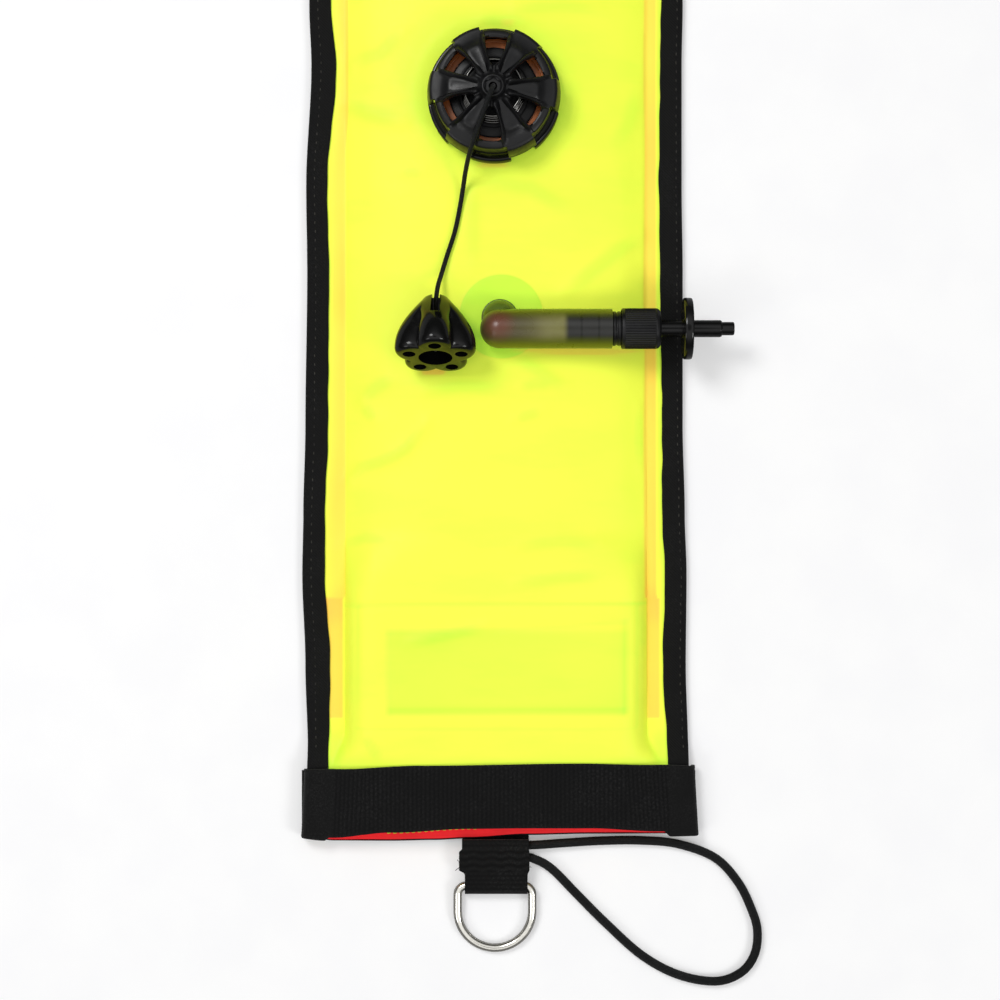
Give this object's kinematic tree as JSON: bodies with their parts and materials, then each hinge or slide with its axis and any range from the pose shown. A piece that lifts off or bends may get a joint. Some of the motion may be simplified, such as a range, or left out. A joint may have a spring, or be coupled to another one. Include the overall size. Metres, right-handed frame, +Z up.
{
  "type": "surface marker buoy",
  "caption": "Flat-lying fabric tube with a webbed open mouth, spring-loaded dump valve with pull cord, oral inflator with lock nut, tether tab with D-ring and elastic loop",
  "frame": {"origin": "on the underside of the tether tab behind the middle of the mouth band, at the level that the buoy lies on", "axes": "X across the buoy, with the inflator pointing to +X; Y up the buoy from its open mouth to its closed top; Z up out of the yellow face"},
  "size_m": [0.1782, 1.258, 0.0417],
  "materials": {
    "fluorescent_fabric": "coated nylon, satin",
    "red_fabric": "coated nylon, satin",
    "inner_fabric": "coating side of the nylon, matte",
    "ballast_steel": "plain sheet",
    "edging_tape": "folded binding tape, fine weave",
    "webbing": "ribbed webbing",
    "stainless_steel": "polished stainless wire",
    "elastic_cord": "braided cover",
    "valve_black": "moulded, semi-gloss",
    "gloss_black": "moulded, glossy",
    "black_rubber": "soft rubber",
    "amber_silicone": "translucent silicone",
    "clear_flange": "welded plastic seen through the fabric",
    "smoky_hose": "smoky translucent hose"
  },
  "bodies": {
    "bag": {"front_panel": "fluorescent_fabric", "front_side_left": "fluorescent_fabric", "front_side_right": "fluorescent_fabric", "front_top": "fluorescent_fabric", "back_panel": "red_fabric", "back_mouth": "red_fabric", "mouth_flap": "inner_fabric", "ballast_pocket": "inner_fabric", "ballast_plate": "ballast_steel", "edge_tape_left": "edging_tape", "edge_tape_right": "edging_tape", "edge_tape_top": "edging_tape", "mouth_band_front": "webbing", "mouth_band_back": "webbing", "tether_tab": "webbing", "bungee_loop": "elastic_cord", "dump_valve_flange": "valve_black", "dump_valve_gasket": "black_rubber", "dump_valve_body": "valve_black", "dump_valve_cap": "valve_black", "dump_valve_spring": "stainless_steel", "inflator_flange": "clear_flange", "inflator_elbow": "smoky_hose", "inflator_body": "valve_black", "inflator_spring": "stainless_steel"},
    "poppet": {"dump_valve_poppet": "valve_black", "dump_valve_seal": "amber_silicone"},
    "pull": {"dump_cord": "elastic_cord", "dump_knob": "gloss_black", "dump_cord_knot": "elastic_cord"},
    "stem": {"inflator_stem": "gloss_black", "inflator_disc": "gloss_black", "inflator_valve_disc": "black_rubber"},
    "nut_ring": {"lock_nut_o_ring": "black_rubber"},
    "nut": {"inflator_lock_nut": "valve_black"},
    "ring": {"d_ring": "stainless_steel"}
  },
  "joints": [
    {"name": "poppet_lift", "type": "slide", "parent": "bag", "child": "poppet", "axis": [0, 0, 1], "range_m": [0, 0.003], "stiffness_N_per_m": 300, "springref_m": -0.004, "deforming": ["dump_valve_spring"]},
    {"name": "cord_swing", "type": "hinge", "parent": "poppet", "child": "pull", "pos_m": [-0.0008, 0.268, 0.0246], "axis": [0, 0, 1], "range_deg": [-25, 0]},
    {"name": "stem_push", "type": "slide", "parent": "bag", "child": "stem", "axis": [1, 0, 0], "range_m": [-0.004, 0], "stiffness_N_per_m": 400, "springref_m": 0.003, "deforming": ["inflator_spring"]},
    {"name": "nut_advance", "type": "slide", "parent": "bag", "child": "nut_ring", "axis": [1, 0, 0], "range_m": [0, 0.0039]},
    {"name": "nut_turn", "type": "hinge", "parent": "nut_ring", "child": "nut", "pos_m": [0.055, 0.1788, 0.01915], "axis": [1, 0, 0], "range_deg": [0, 540]},
    {"name": "ring_swing", "type": "hinge", "parent": "bag", "child": "ring", "pos_m": [-0.0004, -0.0335, 0.0032], "axis": [-1, 0, 0], "range_deg": [0, 140]}
  ],
  "couplings": [
    {"joint": "nut_turn", "follows": "nut_advance", "rad_per_m": 2416.6}
  ]
}
